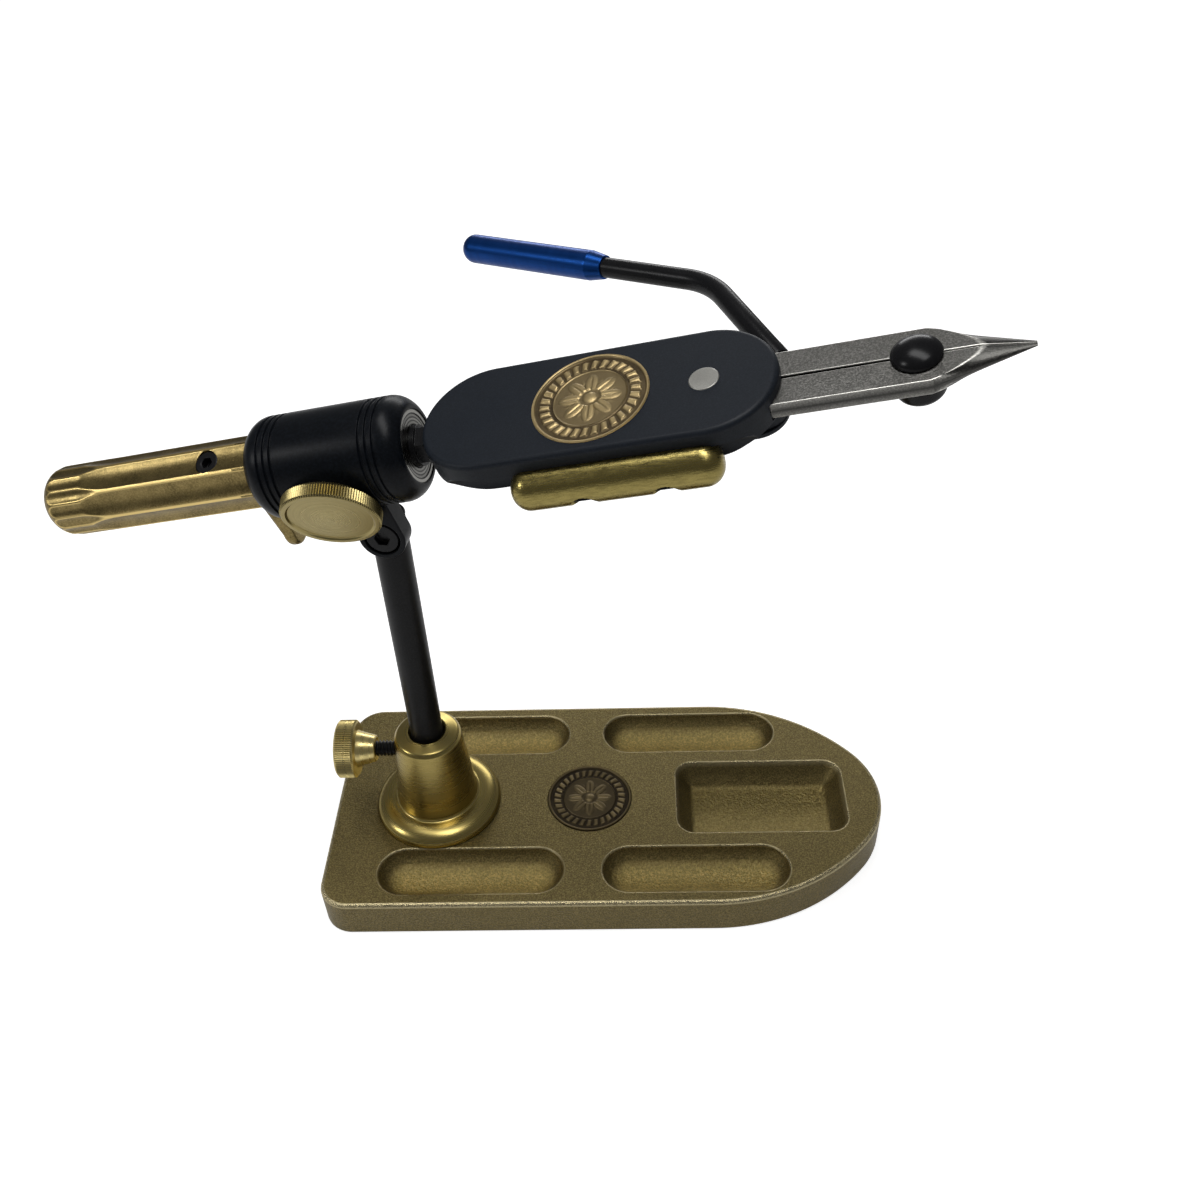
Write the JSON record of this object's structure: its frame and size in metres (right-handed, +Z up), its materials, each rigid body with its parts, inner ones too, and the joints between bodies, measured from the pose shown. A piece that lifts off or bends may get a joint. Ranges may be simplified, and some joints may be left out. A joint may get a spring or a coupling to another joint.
{
  "type": "fly tying vise",
  "caption": "Pedestal fly tying vise: cam-lever jaws on a tilting head that turns in ball bearings, on a stem clamped in the boss of a tray base.",
  "frame": {"origin": "middle of the base plate's underside, on the table", "axes": "+X along the base towards the jaws, +Y to the lever's side, +Z up"},
  "size_m": [0.2382, 0.1183, 0.1814],
  "materials": {
    "base_coat": "bronze hammer-vein coat over cast metal",
    "antique_bronze": "dark antique bronze",
    "boss_brass": "satin turned brass",
    "knob_brass": "polished and knurled brass",
    "bar_brass": "brushed brass",
    "black_steel": "black oxide",
    "black_anodise": "matte black anodised",
    "bright_steel": "ground bearing steel",
    "shield_steel": "stamped steel",
    "cage_brass": "pressed brass",
    "handle_bronze": "bronze anodised, finely brushed",
    "jaw_steel": "bead-blasted tool steel",
    "blue_anodise": "blue anodised",
    "drag_nylon": "natural nylon"
  },
  "bodies": {
    "base": {"base_plate": "base_coat", "base_medallion": "antique_bronze", "stem_boss": "boss_brass", "ring_nut": "black_steel"},
    "thumb": {"thumb_knob": "knob_brass", "thumb_stud": "black_steel"},
    "stem": {"stem": "black_steel", "pivot_screw": "black_steel", "pivot_washer": "black_steel"},
    "barrel": {"barrel": "black_anodise", "bearing_outer_rings": "bright_steel", "bearing_shields": "shield_steel", "drag_plug": "drag_nylon"},
    "balls": {"bearing_balls": "bright_steel", "bearing_cages": "cage_brass"},
    "tension": {"tension_knob": "knob_brass", "tension_stud": "black_steel"},
    "spindle": {"main_shaft": "bright_steel", "shaft_nut": "black_steel", "bearing_inner_rings": "bright_steel", "bearing_spacer": "bright_steel", "handle": "handle_bronze", "handle_set_screw": "black_steel", "crank_arm": "handle_bronze", "head_body": "black_anodise", "head_cover": "black_anodise", "cover_screws": "black_steel", "shaft_lock_screw": "black_steel", "head_medallion": "antique_bronze", "jaw_pivot_pin": "bright_steel", "jaw_springs": "shield_steel", "weight_bar": "bar_brass", "weight_bar_screws": "black_steel", "cam_pin": "bright_steel"},
    "lever": {"lever_cam": "black_steel", "lever_rod": "black_steel", "lever_grip": "blue_anodise"},
    "near_jaw": {"near_jaw": "jaw_steel", "jaw_button": "black_steel"},
    "far_jaw": {"far_jaw": "jaw_steel"}
  },
  "joints": [
    {"name": "thumb_screw", "type": "hinge", "parent": "base", "child": "thumb", "pos_m": [-0.0527, 0, 0.0372], "axis": [1, 0, 0], "range_deg": [0, 360]},
    {"name": "stem_height", "type": "slide", "parent": "base", "child": "stem", "axis": [0, 0, 1], "range_m": [0, 0.025]},
    {"name": "head_angle", "type": "hinge", "parent": "stem", "child": "barrel", "pos_m": [-0.0527, 0, 0.1207], "axis": [0.153, 0.9882, 0], "range_deg": [-25, 35]},
    {"name": "head_rotation", "type": "hinge", "parent": "barrel", "child": "spindle", "pos_m": [-0.05789, 0.0008, 0.14175], "axis": [0.9589, -0.1484, 0.2419], "continuous": true},
    {"name": "bearing_roll", "type": "hinge", "parent": "barrel", "child": "balls", "pos_m": [-0.05789, 0.0008, 0.14175], "axis": [0.9589, -0.1484, 0.2419], "continuous": true},
    {"name": "tension_screw", "type": "hinge", "parent": "barrel", "child": "tension", "pos_m": [-0.0622, 0.00147, 0.14067], "axis": [-0.0327, -0.9044, -0.4253], "range_deg": [0, 360]},
    {"name": "lever_cam", "type": "hinge", "parent": "spindle", "child": "lever", "pos_m": [0.03803, -0.01354, 0.16367], "axis": [-0.267, -0.1829, 0.9462], "range_deg": [0, 20]},
    {"name": "near_jaw_swing", "type": "hinge", "parent": "spindle", "child": "near_jaw", "pos_m": [0.02745, -0.01265, 0.1644], "axis": [-0.267, -0.1829, 0.9462], "range_deg": [-0.95, 0]},
    {"name": "far_jaw_swing", "type": "hinge", "parent": "spindle", "child": "far_jaw", "pos_m": [0.02745, -0.01265, 0.1644], "axis": [-0.267, -0.1829, 0.9462], "range_deg": [0, 0.95]}
  ],
  "couplings": [
    {"joint": "bearing_roll", "follows": "head_rotation", "ratio": 0.3846},
    {"joint": "near_jaw_swing", "follows": "lever_cam", "ratio": -0.047},
    {"joint": "far_jaw_swing", "follows": "lever_cam", "ratio": 0.047}
  ]
}
